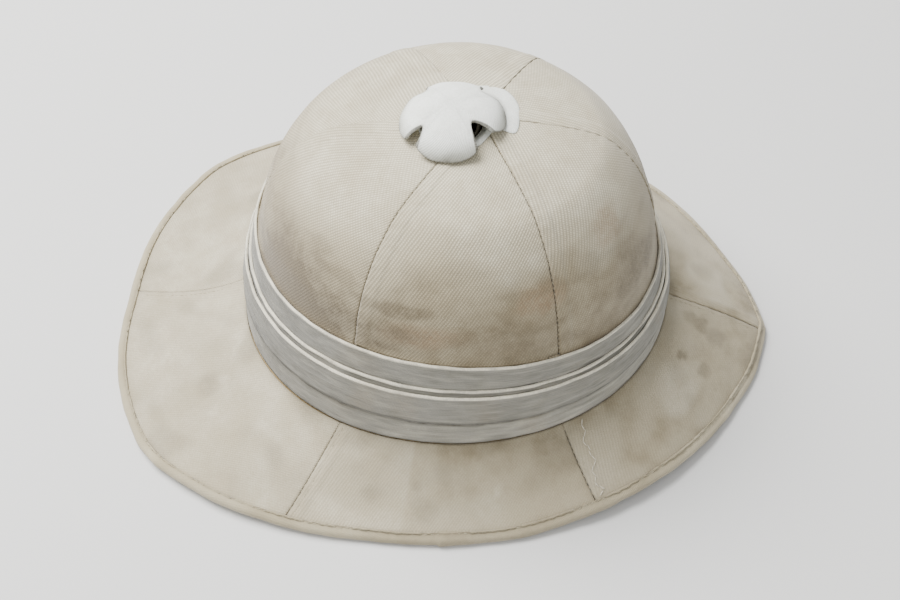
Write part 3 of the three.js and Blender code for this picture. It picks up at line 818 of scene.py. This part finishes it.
def brim_binding():
    angle = np.arange(EDGE_COLUMNS) * 360 / EDGE_COLUMNS
    base = binding_section(angle)
    rows = base.shape[0] - 1
    inner = run_length(base, 0)
    inner = inner[-2:-1] - inner
    on_top = ramp(np.arange(rows + 1), rows - 7, rows - 6)[:, None]
    sewn = -0.3 * np.exp(-(((inner - BINDING_STITCH) / 0.6) ** 2)) * on_top
    ripple = 0.16 * np.sin(angle * 2.9 + 4 * lumps(base, 60, 5)) * on_top
    past_lap = np.mod(angle - LAP_ANGLE, 360)
    lap = 0.9 * (1 - ramp(past_lap, 0.0, 8)) * ramp(np.arange(rows + 1), 4, 7)[:, None]
    relief = sewn + ripple + lap + 0.34 * lumps(base, 9, 6) + 0.3 * lumps(base, 30, 9)
    relief *= ramp(np.arange(rows + 1), 3, 6)[:, None]
    points = base + normals(base, True) * relief[..., None]
    marks = no_marks(base)
    marks["soil_and_shade"] = 0.4 * np.exp(-(((inner - BINDING_STITCH) / 0.5) ** 2)) * on_top
    marks["soil_and_shade"] += 0.5 * np.exp(-(((past_lap - 0.3) / 0.25) ** 2)) * on_top + 0.15
    marks["soil_and_shade"] += 0.2 * lumps(base, 12, 7)
    marks["soil_and_shade"] += 0.5 * np.exp(-(((angle - 275) / 34) ** 2))
    marks["bleach_and_light"] = 0.5 + 0.5 * lumps(base, 22, 8)
    sheet = ring_sheet(EDGE_COLUMNS, rows)
    piece = sheet_piece("brim_binding", sheet, points, cut_of_ring(base), marks, edge_tape, 0.6)
    return piece, "brim_binding"


def binding_stitches():
    bm = bmesh.new()
    angle = np.linspace(0, 360, 720)
    way = 1 - (BINDING_SHOWN - BINDING_STITCH) / brim_run(angle)
    run = brim_at(angle, way, GAP + BINDING_CLOTH - 0.1)
    up = brim_at(angle, way, 1.0) - brim(angle, way)
    stitches(bm, run, up, 2.1, 3.3, 0.55, 0.35, 41)
    return finished("binding_stitches", bm, dark_thread)


# ---- Pugaree --------------------------------------------------------------------------------

# Each fold's lower and upper edge, from the crown's foot (0) to its shoulder (1), how far its inner
# face stands off the crown at each edge, and how thick the folded cloth lies. The edges lie where the
# finished folds show, up to 5 mm from the frame's plain ones.
FOLDS = {
    "pugaree_bottom": {"low": 0.005, "high": 0.37, "in_low": 0.3, "in_high": 0.3, "thick": 1.2},
    "pugaree_wide": {"low": 0.33, "high": 0.672, "in_low": 3.1, "in_high": 3.1, "thick": 1.3},
    "pugaree_narrow": {"low": 0.56, "high": 0.735, "in_low": 1.8, "in_high": 1.8, "thick": 0.9},
    "pugaree_top": {"low": 0.6, "high": 1.0, "in_low": 0.3, "in_high": 0.3, "thick": 1.2},
}
# How dark the painted shadow is near each fold's upper edge, under the fold above.
SHADOWED = {"pugaree_bottom": 1.3, "pugaree_wide": 0.0, "pugaree_narrow": 0.5, "pugaree_top": 0.0}
WALL_LENGTH = 54.3  # from the foot to the shoulder along the cloth
FOLD_COLUMNS = 440
FACE_ROWS = 22
ROLL = 0.8  # radius of a fold's rolled edge


def spread_of(around, share):
    """Places on the wall drawn out so that lumps over them lie level and long, like creases."""
    return polar(around, 240, share * WALL_LENGTH * 14)


def fold_section(size, angle, seed):
    """A fold's cloth, from its tucked lower edge up its face, over the roll and down inside."""
    circle = polar(angle, 100, 0)
    sway = 0.5 * lumps(circle, 70, seed) + 0.25 * lumps(circle, 24, seed + 1)
    low = size["low"] + sway / WALL_LENGTH * 0.8
    high = size["high"] + (0.5 * lumps(circle, 60, seed + 2)) / WALL_LENGTH
    roll = ROLL / WALL_LENGTH
    face = np.linspace(0, 1, FACE_ROWS + 1)[:, None]
    share = low + (high - roll - low) * face
    inside = size["in_low"] + (size["in_high"] - size["in_low"]) * face
    around = np.broadcast_to(angle, share.shape)
    spread = spread_of(around, share)
    crease = 0.6 * lumps(spread, 52, seed + 3) + 0.55 * lumps(spread, 20, seed + 4)
    bead = 0.45 * ramp(share, high - 2.2 * roll, high - roll)
    belly = 0.45 * np.sin(np.pi * face) ** 2 + bead
    edges = 0.35 + 0.65 * ramp(face, 0, 0.1) * (1 - 0.6 * ramp(face, 0.85, 1))
    lift = inside + size["thick"] + belly + crease * edges
    rows = [(low + 0.6 / WALL_LENGTH, np.full(angle.shape, size["in_low"] + 0.35))]
    rows.append((low + 0.1 / WALL_LENGTH, lift[0] - 0.55))
    rows += list(zip(share, lift))
    for turn in np.radians(range(30, 181, 30)):
        rows.append((high - roll + roll * np.sin(turn), lift[-1] - ROLL * (1 - np.cos(turn))))
    inner_face = size["in_high"] + 0.1
    rows.append((high - roll * 3, np.full(angle.shape, inner_face)))
    rows.append(((low + high) / 2, np.full(angle.shape, (size["in_low"] + size["in_high"]) / 2 + 0.1)))
    return [np.stack(column) for column in zip(*rows)]


def pugaree_fold(name, seed):
    size = FOLDS[name]
    angle = np.arange(FOLD_COLUMNS) * 360 / FOLD_COLUMNS
    share, lift = fold_section(size, angle, seed)
    around = np.broadcast_to(angle, share.shape)
    points = crown_at(around, share - 1, np.maximum(lift, 0.25))
    rows = points.shape[0] - 1
    marks = no_marks(points)
    up = (share - size["low"]) / (size["high"] - size["low"])
    edge = 1 - 1.7 * ROLL / WALL_LENGTH / (size["high"] - size["low"])
    # Lighter along each rolled edge: painted highlight where it faces the light from above.
    marks["bleach_and_light"] = 1.2 * ramp(up, edge, edge + 0.03) + 0.3 * lumps(spread_of(around, share), 30, seed + 6)
    marks["bleach_and_light"] += 0.22 * (name == "pugaree_bottom")
    turned = np.mod(around, 360)
    # Dark along each fold's lower edge: painted shadow under its overhang, and a little uneven dirt.
    marks["soil_and_shade"] = 1.6 * (1 - ramp(up, 0.0, 0.07)) + 0.3 * np.abs(lumps(points, 17, seed + 7))
    # Painted shadow under the fold above.
    marks["soil_and_shade"] += SHADOWED[name] * ramp(up, 0.62, 0.74) * (1 - ramp(up, edge - 0.05, edge + 0.02))
    marks["soil_and_shade"] += 0.75 * np.exp(-(((turned - 208) / 26) ** 2)) * (1 - ramp(up, edge - 0.05, edge))
    marks["rust"] = 0.3 * ramp(lumps(points * [1, 1, 0.3], 24, seed + 8), 0.25, 0.6)
    sheet = ring_sheet(FOLD_COLUMNS, rows)
    piece = sheet_piece(name, sheet, points, cut_of_ring(points), marks, band_cotton, 0.35)
    return piece, name


# ---- Ventilator -----------------------------------------------------------------------------

VENT_COLUMNS = 160
CAP_ROWS = 22
CAP_ARC = 31  # from the cap's rim to its top, over the dome
# Each arch in the cap's edge: its angle, half its width in degrees, its top up the cap's arc, and how
# far the lobes' corners are rounded up before and after it.
CAP_ARCHES = [(42, 15, 15, 4, 4), (138, 15, 15, 4, 3), (221, 11, 16.5, 2.5, 3.5), (317, 17, 19.5, 4, 7)]
ARCH_COLUMNS = 22


def vent_seat():
    """Height of the ventilator's axis on the crown's cloth, and the cloth's lean there."""
    heights = [dome(a, share_at_circle(a, VENT, CAP_RADIUS))[2] for a in (0.0, 180.0)]
    return sum(heights) / 2, math.atan2(heights[0] - heights[1], 2 * CAP_RADIUS)


SEAT_Z, SEAT_LEAN = vent_seat()


def seated(points):
    """Turns and moves points from the ventilator's own upright frame to its seat."""
    turn = np.array(Matrix.Rotation(-SEAT_LEAN, 3, "X"))
    return points @ turn.T + np.array([*VENT, SEAT_Z])


# The worn washer's outline: the angle past the wearer's right (-90), and the reach there.
WASHER_EDGE = [
    (0, 17.5), (30, 14.8), (52, 13.8), (58, 15), (64, 22), (70, 23.9), (98, 25.3), (124, 28), (146, 28.8),
    (175, 25), (210, 22.5), (315, 22.3), (360, 17.5),
]


def ventilator_washer():
    rows = 8
    angle = np.arange(VENT_COLUMNS) * 360 / VENT_COLUMNS
    inner = share_at_circle(angle, VENT, VENT_RADIUS + GAP)
    frayed = smooth(WASHER_EDGE, np.mod(angle + 90, 360)) + 0.9 * lumps(polar(angle, 30, 0), 14, 90)
    outer = share_at_circle(angle, WASHER, frayed)
    over = np.array([0, 0.02, 0.08, 0.2, 0.35, 0.5, 0.7, 0.85, 1])[:, None]
    lift = np.array([0.2, 0.45, 0.65, 0.9, 1.05, 1.1, 1.1, 1.1, 1.0])[:, None]
    share = outer + (inner - outer) * over
    around, lift = np.broadcast_to(angle, share.shape), np.broadcast_to(lift, share.shape)
    base = dome(around, share)
    lift = lift + 0.2 * lumps(base, 7, 91) * ramp(over, 0.03, 0.2)
    points = base + normals(base, True) * lift[..., None]
    marks = no_marks(base)
    marks["bleach_and_light"] = 0.9 + 0.3 * lumps(base, 12, 92)
    # Faint uneven grime, and darker on the inner part under the cap: painted shade.
    marks["soil_and_shade"] = 0.15 * np.abs(lumps(base, 8, 93)) + 1.2 * ramp(over, 0.3, 0.6)
    sheet = ring_sheet(VENT_COLUMNS, rows)
    piece = sheet_piece("ventilator_washer", sheet, points, cut_of_ring(base), marks, white_drill,
                        0.5)
    return piece, "ventilator_washer"


def cap_angles():
    """Angles round the cap, crowded where each arch's sides run up steeply."""
    lobe_columns = VENT_COLUMNS // len(CAP_ARCHES) - ARCH_COLUMNS
    angles = []
    for k, (middle, half, *_) in enumerate(CAP_ARCHES):
        following, next_half, *_ = CAP_ARCHES[(k + 1) % len(CAP_ARCHES)]
        angles += list(middle - half * np.cos(np.linspace(0, np.pi, ARCH_COLUMNS, endpoint=False)))
        end = (following - middle) % 360 + middle - next_half
        angles += list(np.linspace(middle + half, end, lobe_columns, endpoint=False))
    return np.array(angles)


def cap_edge(angle):
    """Where the cap's edge runs up its arc: lobes down to the cloth, with arches between them."""
    a = np.radians(angle)
    edge = np.stack([np.sin(a) * CAP_RADIUS, -np.cos(a) * CAP_RADIUS, np.zeros_like(a)], -1)
    rest = np.zeros_like(a)
    for _ in range(4):
        edge[:, 2] = rest
        world = seated(edge)
        rest = rest + dome_height(world[:, 0], world[:, 1]) + WASHER_THICK + 2 * GAP - world[:, 2]
    rest = rest + 0.5
    height = rest.copy()
    for middle, half, top, before, after in CAP_ARCHES:
        turn = np.mod(angle - middle + 180, 360) - 180
        off = np.abs(turn)
        foot = np.where(turn < 0, before, after)
        arch = np.sqrt(1 - np.clip(off / half, 0, 1) ** 2)
        corner = rest + foot * np.exp(-((np.maximum(off - half, 0) / 11) ** 1.4))
        height = np.maximum(height, np.where(off < half, rest + foot + (top - rest - foot) * arch, corner))
    return height


def ventilator_cap():
    angle = cap_angles()
    edge = cap_edge(angle)
    up = (np.linspace(0, 1, CAP_ROWS + 1) ** 1.15)[:, None]
    s = edge + (CAP_ARC - edge) * up
    quarter = np.clip(s / CAP_ARC, 0, 1) * np.pi / 2
    below = np.minimum(s, 0)
    reach = CAP_RADIUS * np.cos(quarter)
    height = CAP_HEIGHT * np.sin(quarter) + below
    a = np.radians(angle)
    points = np.stack(np.broadcast_arrays(np.sin(a) * reach, -np.cos(a) * reach, height), -1)
    wrinkle = 0.3 * lumps(points * [1, 1, 0.6], 7, 101) + 0.35 * lumps(points, 18, 102)
    hem = 0.3 * np.exp(-(s - edge) / 1.3)
    inwards = np.ones_like(up)
    inwards[-1] = 0
    points = points + normals(points, True) * ((wrinkle + hem) * inwards)[..., None]
    points[-1] = points[-1].mean(0)
    points = seated(points)
    marks = no_marks(points)
    # Lighter towards the top: painted light from above.
    marks["bleach_and_light"] = 1.2 * ramp(height, 2, 10) + 0.35 * lumps(points, 11, 103)
    # Darker along the hem, painted shadow in the gap under the lobes, and darker low on the cap: painted
    # shade broken up by grey mottling.
    low_grime_and_shade = 0.6 + 0.8 * np.abs(lumps(points, 6, 104))
    marks["soil_and_shade"] = 1.1 * np.exp(-(s - edge) / 0.9) + low_grime_and_shade * (1 - ramp(height, 0, 9))
    sheet = ring_sheet(VENT_COLUMNS, CAP_ROWS)
    piece = sheet_piece("ventilator_cap", sheet, points, cut_of_ring(points), marks, white_drill,
                        CAP_WALL, 1)
    return piece, "ventilator_cap"


def ventilator_collar():
    """A ring of sheet metal in the crown's hole, with a cross bar and a post up to the cap."""
    bm = bmesh.new()
    inner = COLLAR_RADIUS - COLLAR_WALL
    low = -COLLAR_DEPTH
    corners = [(COLLAR_RADIUS, low), (COLLAR_RADIUS, 0), (inner, 0), (inner, low)]
    loop = [bm.verts.new((x, 0, z)) for x, z in corners]
    section = bm.faces.new(loop)
    spun = {"cent": (0, 0, 0), "axis": (0, 0, 1), "angle": math.tau, "steps": 96, "use_merge": True}
    bmesh.ops.spin(bm, geom=[*loop, *section.edges], **spun)
    bmesh.ops.delete(bm, geom=[section], context="FACES_ONLY")
    bar = Matrix.Diagonal((2 * inner + COLLAR_WALL, COLLAR_BAR, COLLAR_BAR, 1))
    bar = Matrix.Translation((0, 0, low + COLLAR_BAR / 2)) @ bar
    bmesh.ops.create_cube(bm, size=1, matrix=bar)
    top = CAP_HEIGHT - CAP_WALL - 2 * GAP
    post = Matrix.Translation((0, 0, (top + low) / 2))
    round_bar = {"segments": 32, "radius1": COLLAR_POST, "radius2": COLLAR_POST, "depth": top - low}
    bmesh.ops.create_cone(bm, cap_ends=True, matrix=post, **round_bar)
    bmesh.ops.recalc_face_normals(bm, faces=bm.faces)
    sharp = [e for e in bm.edges if len(e.link_faces) == 2 and e.calc_face_angle() > 1]
    bmesh.ops.bevel(bm, geom=sharp, offset=0.3, segments=2, profile=0.5, affect="EDGES", material=-1)
    for vert in bm.verts:
        vert.co = Vector(seated(np.array(vert.co))) * MM
    return finished("ventilator_collar", bm, tin), "ventilator_collar"


# ---- Shell ----------------------------------------------------------------------------------

UNDER_CLOTH = -CLOTH - GAP
SHELL_COLUMNS = 180


def shell_piece(name, section):
    """A shell of pressed pith, from its section's rows, closed back to the first."""
    angle = np.arange(SHELL_COLUMNS) * 360 / SHELL_COLUMNS
    rows = section(angle)
    points = np.stack([*rows, rows[0]])
    sheet = ring_sheet(SHELL_COLUMNS, len(rows))
    piece = sheet_piece(name, sheet, points, cut_of_ring(points), {}, pith)
    return piece, name


def crown_shell_section(angle):
    inward = UNDER_CLOTH - CROWN_WALL
    mouth = crown_at(angle, -1.0, inward)
    mouth[:, 2] -= BRIM_WALL_AT_CROWN
    outer = [crown_at(angle, w, UNDER_CLOTH) for w in np.linspace(-1, 1, 37)]
    inner = [crown_at(angle, w, inward, VENT_INSIDE) for w in np.linspace(1, -0.94, 37)]
    below = brim_at(angle, BRIM_START, UNDER_CLOTH - brim_wall(BRIM_START))
    return [brim_at(angle, BRIM_START, UNDER_CLOTH), *outer, *inner, mouth, below]


def brim_shell_section(angle):
    start = BRIM_START + GAP / brim_run(angle)
    ways = [start + (1 - start) * s for s in np.linspace(0, 1, 22)]
    top = [brim_at(angle, w, UNDER_CLOTH) for w in reversed(ways)]
    under = [brim_at(angle, w, UNDER_CLOTH - brim_wall(w)) for w in ways]
    return [*top, *under]


# ---- Helmet ---------------------------------------------------------------------------------

made = [shell_piece("shell_crown", crown_shell_section), shell_piece("shell_brim", brim_shell_section)]
made += [crown_gore(number) for number in range(PANELS)]
made += [brim_cover(number) for number in range(PANELS)]
made += [pugaree_fold(name, 200 + 20 * k) for k, name in enumerate(FOLDS)]
made += [brim_binding(), ventilator_washer(), ventilator_cap(), ventilator_collar()]
for piece, node in made:
    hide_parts(node)
crown_seam_stitches()
brim_seam_stitches()
torn_threads()
binding_stitches()

# ---- Floor, light and camera ----------------------------------------------------------------

FLOOR_HALF = 40  # metres
bm = bmesh.new()
bmesh.ops.create_grid(bm, x_segments=1, y_segments=1, size=FLOOR_HALF)
mesh = bpy.data.meshes.new("floor")
bm.to_mesh(mesh)
bm.free()
mesh.materials.append(plain_floor("pale_board_floor"))
floor = bpy.data.objects.new("floor", mesh)
bpy.context.scene.collection.objects.link(floor)

middle = Vector((cad_low + cad_high) / 2)


def soft_light(name, towards, distance, size, power):
    data = bpy.data.lights.new(name, "AREA")
    data.shape = "DISK"
    data.size = size
    data.energy = power
    light = bpy.data.objects.new(name, data)
    heading = Vector(towards).normalized()
    light.location = middle + heading * distance
    light.rotation_mode = "QUATERNION"
    light.rotation_quaternion = heading.to_track_quat("Z", "Y")
    bpy.context.scene.collection.objects.link(light)


soft_light("window", (0.35, 0.7, 1.3), 1.6, 1.2, 74)
soft_light("fill", (-0.9, 0.5, 0.9), 1.8, 1.6, 9)
world = bpy.data.worlds.new("studio")
world.use_nodes = True
world.node_tree.nodes["Background"].inputs["Color"].default_value = colour("#eef1f5")
world.node_tree.nodes["Background"].inputs["Strength"].default_value = 0.8
bpy.context.scene.world = world

# The camera stands at the wearer's right, well above the brim.
LOOK_AT = (6.3, -4.0, 7.5)
LOOK_FROM = (-412.7, -31.7, 572.5)
ROLL_DEGREES = -0.24
camera_data = bpy.data.cameras.new("camera")
camera_data.lens = 49.62
camera_data.sensor_width = 36
camera_data.clip_start = 0.01
camera = bpy.data.objects.new("camera", camera_data)
camera.location = Vector(LOOK_FROM) * MM
sight = (Vector(LOOK_FROM) - Vector(LOOK_AT)).to_track_quat("Z", "Y")
camera.rotation_mode = "QUATERNION"
camera.rotation_quaternion = sight @ Matrix.Rotation(math.radians(ROLL_DEGREES), 3, "Z").to_quaternion()
bpy.context.scene.collection.objects.link(camera)
bpy.context.scene.camera = camera
